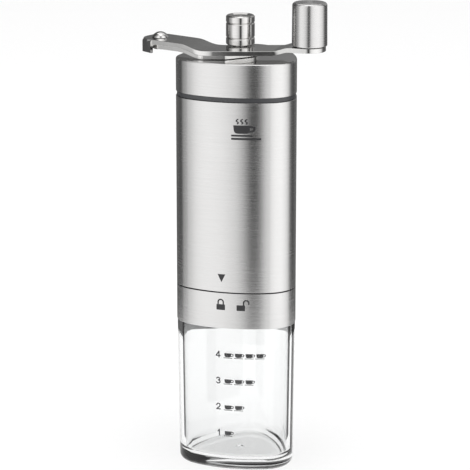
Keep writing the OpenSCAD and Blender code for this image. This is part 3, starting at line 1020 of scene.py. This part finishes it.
@dataclass
class KnobArm:
    """The folding arm with its stop lug, and the rivet it folds on."""

    end_r: float = 7.19
    far_r: float = 6.88
    width: float = 16.2
    notch_r: float = 3.9
    edge: float = 0.4
    base: float = 183.95
    lug_turn: float = 107.0
    lug_half_w: float = 3.05
    lug_root: float = 4.6
    lug_in: float = 6.1
    lug_out: float = 7.39
    lug_drop: float = 5.85
    head_r: float = 3.7
    head_h: float = 2.4
    shank_r: float = 1.8
    foot_r: float = 3.0

    def lift(self, x: float, y: float) -> float:
        """Height of the arm's under face at x and y in the crank's frame."""
        return self.base + CRANK.left_lift(x, y, 0.0) + CRANK.right_lift(x, y)

    def plan(self) -> list[Point2]:
        """The arm's outline: round ends, eased corners and a notch that clears the nut's neck."""
        path = [CRANK.pivot, CRANK.elbow, CRANK.bend, CRANK.knob]
        half = [self.end_r, self.width / 2, self.width / 2, self.far_r]
        first, last = ray(path[0], path[1]), ray(path[2], path[3])

        def mitre(i: int, side: float) -> Vector:
            """The corner of the ribbon at point i, on that side."""
            n0 = ray(path[i - 1], path[i]).orthogonal()
            n1 = ray(path[i], path[i + 1]).orthogonal()
            m = n0 + n1
            return Vector(path[i]) + 2 * side * half[i] * m / m.dot(m)

        back = Vector(path[0]) - first * self.end_r
        front = Vector(path[3]) + last * self.far_r
        fo, lo = first.orthogonal(), last.orthogonal()
        upper = [mitre(1, 1.0), mitre(2, 1.0)]
        lower = [mitre(1, -1.0), mitre(2, -1.0)]
        along = (upper[1] - upper[0]).normalized()
        foot = upper[0] + along * (-upper[0]).dot(along)
        half_cut = math.sqrt(self.notch_r ** 2 - foot.length_squared)
        near_r, far_r = self.end_r - 0.02, self.far_r - 0.02
        corners = [(*(back + fo * self.end_r), near_r), (*(back - fo * self.end_r), near_r),
                   (*lower[0], 14.0), (*lower[1], 10.0),
                   (*(front - lo * self.far_r), far_r), (*(front + lo * self.far_r), far_r),
                   (*upper[1], 8.0)]
        outline = fillet(corners, 16)
        enter, leave = foot + along * half_cut, foot - along * half_cut
        a0, a1 = math.atan2(enter.y, enter.x), math.atan2(leave.y, leave.x)
        turn = (a1 - a0) % math.tau - math.tau
        notch = [(self.notch_r * math.cos(a0 + turn * k / 18), self.notch_r * math.sin(a0 + turn * k / 18))
                 for k in range(19)]
        elbow = fillet([(*enter, 0.0), (*upper[0], 8.0), (*corners[0][:2], 0.0)], 10, False)[1:-1]
        return outline + notch + elbow

    def build(self) -> bpy.types.Object:
        """The stamped arm with its lug."""
        bm = bmesh.new()
        cuts = CRANK.cuts(CRANK.pivot, CRANK.step_dir, CRANK.step_start, CRANK.left_run)
        cuts += CRANK.cuts(CRANK.bend, CRANK.right_dir + 180, -CRANK.right_run, CRANK.right_run)
        Maker.plate(bm, self.plan(), CRANK.thickness, self.edge, self.lift, cuts)
        self._lug(bm)
        return stamped("knob_arm_sheet", bm, "arm", "knob_arm")

    def _lug(self, bm: bmesh.types.BMesh) -> None:
        """Adds the stop lug, folded down at the arm's round end."""
        top = self.base + CRANK.left_rise + CRANK.thickness
        under, low, high = top - 1.9, top - self.lug_drop, top - 0.06
        section = fillet([(self.lug_root, under, 0.0), (self.lug_in, under, 0.3), (self.lug_in, low, 0.25),
                          (self.lug_out, low, 0.25), (self.lug_out, high, 1.2),
                          (self.lug_root, high, 0.0)], 5)
        a = math.radians(CRANK.heading - self.lug_turn)
        out, side = Vector((math.cos(a), math.sin(a), 0)), Vector((-math.sin(a), math.cos(a), 0))
        start = Vector((*CRANK.pivot, 0))
        rings = [[start + out * u + side * w + Vector((0, 0, z)) for u, z in section]
                 for w in (-self.lug_half_w, self.lug_half_w)]
        Maker.loft(bm, rings, False)

    def build_rivet(self) -> bpy.types.Object:
        """The rivet, with its domed head."""
        top = self.base + CRANK.left_rise + CRANK.thickness
        dome = (self.head_r ** 2 + self.head_h ** 2) / (2 * self.head_h)
        arc = []
        for k in range(14):
            a = math.asin((self.head_r - 0.06) / dome) * k / 13
            arc.append((dome * math.sin(a), top + 0.1 + self.head_h - dome + dome * math.cos(a)))
        low = HubArm.base + CRANK.left_rise
        profile = arc + [(self.head_r, top + 0.16), (self.head_r - 0.1, top + 0.1),
                         (self.shank_r, top + 0.1), (self.shank_r, low - 0.05),
                         (self.foot_r, low - 0.05), (self.foot_r, low - 0.75), (0.0, low - 0.8)]
        piece = Maker.turned("pivot_rivet_head", profile, CRANK.world(*CRANK.pivot))
        return mount(dress(piece, NUT_STEEL), "crank", "pivot_rivet")


@dataclass
class HubArm:
    """The lower arm that sits on the spindle's hexagon."""

    hub_r: float = 7.8
    end_r: float = 5.3
    base: float = 181.85
    edge: float = 0.35
    lead: float = 2.0

    def build(self) -> bpy.types.Object:
        """The stamped lower arm."""
        def arc(at: Point2, r: float, a0: float, a1: float, steps: int) -> list[Point2]:
            """Points of an arc."""
            return [(at[0] + r * math.cos(math.radians(a0 + (a1 - a0) * k / steps)),
                     at[1] + r * math.sin(math.radians(a0 + (a1 - a0) * k / steps)))
                    for k in range(steps)]

        away = CRANK.heading
        plan = arc(CRANK.pivot, self.end_r, away - 90, away - 270, 32) + [(-12.5, -4.0)]
        plan += arc((0.0, 0.0), self.hub_r, 130, -50, 44)
        plan += fillet([(*arc((0.0, 0.0), self.hub_r, -50, 0, 1)[0], 0.0),
                        (-3.6, -13.8, 3.0), (-14.3, -15.7, 4.0), (*plan[0], 0.0)], 8, False)[:-1]
        bm = bmesh.new()
        cuts = CRANK.cuts(CRANK.pivot, CRANK.step_dir, CRANK.step_start - self.lead, CRANK.left_run)
        Maker.plate(bm, plan[::-1], CRANK.thickness, self.edge,
                    lambda x, y: self.base + CRANK.left_lift(x, y, self.lead), cuts)
        return stamped("hub_arm_sheet", bm, "crank", "hub_arm")


@dataclass
class Knob:
    """The turning knob on its pin."""

    skin: float = 0.7
    edge: float = 1.3

    def build(self) -> bpy.types.Object:
        """The knob's shell, drawn in very slightly towards its top."""
        low, high = (c.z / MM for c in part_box("knob_shell"))
        r = (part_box("knob_shell")[1].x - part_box("knob_shell")[0].x) / MM / 2
        shell = fillet([(0.0, high, 0.0), (r - 0.15, high - 0.2, self.edge), (r - 0.02, low, 0.35),
                        (r - self.skin, low, 0.1), (r - self.skin - 0.15, high - 1.0, 0.4),
                        (0.0, high - 0.95, 0.0)], 6, False)
        piece = Maker.turned("knob_shell_steel", shell, CRANK.world(*CRANK.knob))
        return mount(dress(piece, KNOB_STEEL), "knob", "knob_shell")

    def dress_inside(self) -> None:
        """Dresses the core, the pin and the washer."""
        dress_nodes(DARK_PLASTIC, "knob_core", "knob_washer")
        dress_nodes(NUT_STEEL, "knob_pin")


@dataclass
class CapNut:
    """The cap nut with its two grooves, over its spacer."""

    groove: float = 0.45
    low_groove: float = 3.1
    high_groove: float = 3.2

    def build(self) -> bpy.types.Object:
        """The nut, with a dished top."""
        low, high = (c.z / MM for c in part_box("cap_nut"))
        r = (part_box("cap_nut")[1].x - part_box("cap_nut")[0].x) / MM / 2
        a, b = low + self.low_groove, high - self.high_groove
        g = self.groove
        profile = fillet([
            (0.0, high - 1.2, 0.0), (1.0, high - 0.7, 0.3), (r - 1.9, high - 0.55, 0.3),
            (r - 0.9, high, 0.15), (r - 0.55, high, 0.15), (r, high - 0.6, 0.25),
            (r, b + g, 0.1), (r - g, b, 0.08), (r, b - g, 0.1),
            (r, a + g, 0.1), (r - g, a, 0.08), (r, a - g, 0.1),
            (r, low + 0.4, 0.15), (r - 0.4, low, 0.1), (2.1, low, 0.0),
            (2.1, high - 3.0, 0.0), (0.0, high - 3.0, 0.0)], 4, False)
        piece = Maker.turned("cap_nut_turned", profile, sharp=55.0)
        return mount(dress(piece, NUT_STEEL), "nut", "cap_nut")

    def dress_inside(self) -> None:
        """Dresses the spacer."""
        dress_nodes(SPINDLE_STEEL, "nut_collar")


# --- the studio ----------------------------------------------------------------------------------

# light level along the round card, from behind the object, past its left, to behind it again
ROUND_STOPS: tuple[Point2, ...] = (
    (0.131, 0.1), (0.207, 0.064), (0.238, 0.29), (0.265, 0.341), (0.29, 0.433),
    (0.302, 0.528), (0.313, 0.702), (0.327, 0.815), (0.347, 0.868), (0.372, 0.869), (0.41, 0.818),
    (0.428, 0.742), (0.446, 0.671), (0.457, 0.594), (0.469, 0.45), (0.478, 0.33), (0.487, 0.18),
    (0.494, 0.05), (0.505, 0.03), (0.515, 0.05), (0.522, 0.15), (0.531, 0.37), (0.539, 0.56),
    (0.548, 0.699), (0.569, 0.822), (0.606, 0.935), (0.667, 0.985), (0.713, 0.833), (0.745, 0.645),
    (0.783, 0.13), (0.83, 0.063), (0.887, 0.12))


@dataclass
class Card:
    """An upright studio card on an arc round the object, seen only in reflections."""

    name: str
    start: float
    end: float
    radius: float
    low: float
    high: float
    stops: tuple[Point2, ...] = ((0.0, 1.0), (1.0, 1.0))
    power: float = 1.0
    see_through: bool = False


@dataclass
class Studio:
    """Pale floor, soft light, cards for the metal to reflect, and the camera."""

    azimuth: float = 14.5
    elevation: float = 14.45
    distance: float = 1.1
    strip_at: float = 0.05
    strip_near: float = -0.06
    strip_far: float = 0.015
    strip_h: float = 0.06
    floor_reach: float = 4.0
    floor_gap: float = 0.0003
    surround: float = 0.985
    lens: float = 192.0
    target: tuple[float, float, float] = (-0.00224, -0.00058, 0.10138)
    cards: list[Card] = field(default_factory=lambda: [
        Card("card_round", -180, 180, 0.2, 0.0, 0.215, ROUND_STOPS, 1.35, True),
        Card("card_front", -120, 120, 0.2, 0.215, 0.6,
             tuple(((u - 1 / 6) * 1.5, v) for u, v in ROUND_STOPS if 1 / 6 <= u <= 5 / 6), 1.35),
        Card("card_behind", 120, 240, 0.2, 0.215, 0.4,
             ((0.0, 0.5), (0.3, 0.3), (0.5, 0.2), (0.7, 0.12), (1.0, 0.06)), 1.0),
        Card("card_above", -180, 180, 0.2, 0.6, 0.9, ((0.0, 0.9), (1.0, 0.9)), 1.0),
    ])

    def build(self) -> None:
        """Lays the floor, the light, the cards and the camera."""
        self._floor()
        self._light()
        for card in self.cards:
            self._card(card)
        self._strip("strip_left", -1.0)
        self._strip("strip_right", 1.0)
        self._camera()

    def _floor(self) -> None:
        """A wide pale floor just under the jar."""
        bm = bmesh.new()
        bmesh.ops.create_grid(bm, x_segments=8, y_segments=8, size=self.floor_reach)
        floor = linked("floor", bm)
        floor.location.z = -self.floor_gap
        floor.data.materials.append(Paper("pale floor").material())

    def _light(self) -> None:
        """An even pale surround and one large soft light overhead."""
        world = bpy.data.worlds.new("surround")
        world.use_nodes = True
        world.node_tree.nodes["Background"].inputs["Color"].default_value = (1.0, 1.0, 1.0, 1.0)
        world.node_tree.nodes["Background"].inputs["Strength"].default_value = self.surround
        bpy.context.scene.world = world
        bpy.context.scene.view_settings.view_transform = "Standard"
        lamp = bpy.data.lights.new("overhead", "AREA")
        lamp.shape = "RECTANGLE"
        lamp.size, lamp.size_y = 1.6, 1.6
        lamp.energy = 6.0
        holder = linked("overhead", lamp)
        holder.location = (0.1, -0.3, 1.5)
        holder.rotation_euler = (math.radians(-11), 0, 0)

    def _strip(self, name: str, side: float) -> None:
        """A low black strip beside the jar, which darkens only the edges of its wall.

        Args:
            name: the object's name.
            side: -1 for the camera's left and 1 for its right.
        """
        a = math.radians(self.azimuth)
        right, away = Vector((math.cos(a), math.sin(a), 0)), Vector((-math.sin(a), math.cos(a), 0))
        bm = bmesh.new()
        corners = [right * side * self.strip_at + away * d + Vector((0, 0, z))
                   for d, z in ((self.strip_near, 0.0), (self.strip_far, 0.0),
                                (self.strip_far, self.strip_h), (self.strip_near, self.strip_h))]
        bm.faces.new([bm.verts.new(c) for c in corners])
        strip = self._stand(name, bm, Glow("strip black", ((0.0, 0.03), (1.0, 0.03)), 1.0), True)
        strip.visible_glossy = False

    def _stand(self, name: str, bm: bmesh.types.BMesh, finish: Finish,
               see_through: bool) -> bpy.types.Object:
        """Stages a card that only reflections, and light through the jar if told, can see."""
        made = linked(name, bm)
        made.data.materials.append(finish.material())
        made.visible_camera = False
        made.visible_diffuse = False
        made.visible_shadow = False
        made.visible_transmission = see_through
        return made

    def _card(self, card: Card) -> None:
        """Makes one card."""
        bm = bmesh.new()
        steps = 96
        uv = bm.loops.layers.uv.new("UVMap")
        rows = []
        for k in range(steps + 1):
            a = math.radians(self.azimuth + card.start + (card.end - card.start) * k / steps)
            x, y = card.radius * math.sin(a), -card.radius * math.cos(a)
            rows.append((bm.verts.new((x, y, card.low)), bm.verts.new((x, y, card.high)), k / steps))
        for (a0, a1, u0), (b0, b1, u1) in zip(rows, rows[1:]):
            face = bm.faces.new((a0, b0, b1, a1))
            for loop, where in zip(face.loops, ((u0, 0), (u1, 0), (u1, 1), (u0, 1))):
                loop[uv].uv = where
        self._stand(card.name, bm, Glow(card.name, card.stops, card.power), card.see_through)

    def _camera(self) -> None:
        """A long lens at the object's usual three-quarter view."""
        data = bpy.data.cameras.new("camera")
        data.lens = self.lens
        data.sensor_width = 36.0
        camera = linked("camera", data)
        a, e = math.radians(self.azimuth), math.radians(self.elevation)
        back = Vector((math.sin(a) * math.cos(e), -math.cos(a) * math.cos(e), math.sin(e)))
        camera.location = Vector(self.target) + back * self.distance
        camera.rotation_euler = back.to_track_quat("Z", "Y").to_euler()
        bpy.context.scene.camera = camera


def main() -> None:
    """Builds every sub-assembly in order, then the studio."""
    logging.basicConfig(level=logging.INFO, format="%(message)s")
    jar = Jar()
    jar.build()
    jar.print_scale()
    collar = Collar()
    collar.build()
    collar.print_marks()
    collar.dress_inside()
    body = Body()
    body.build()
    body.print_marks()
    body.dress_inside()
    lid = Lid()
    lid.build()
    lid.build_gasket()
    lid.dress_inside()
    HubArm().build()
    arm = KnobArm()
    arm.build()
    arm.build_rivet()
    knob = Knob()
    knob.build()
    knob.dress_inside()
    nut = CapNut()
    nut.build()
    nut.dress_inside()
    Studio().build()


if __name__ == "__main__":
    main()
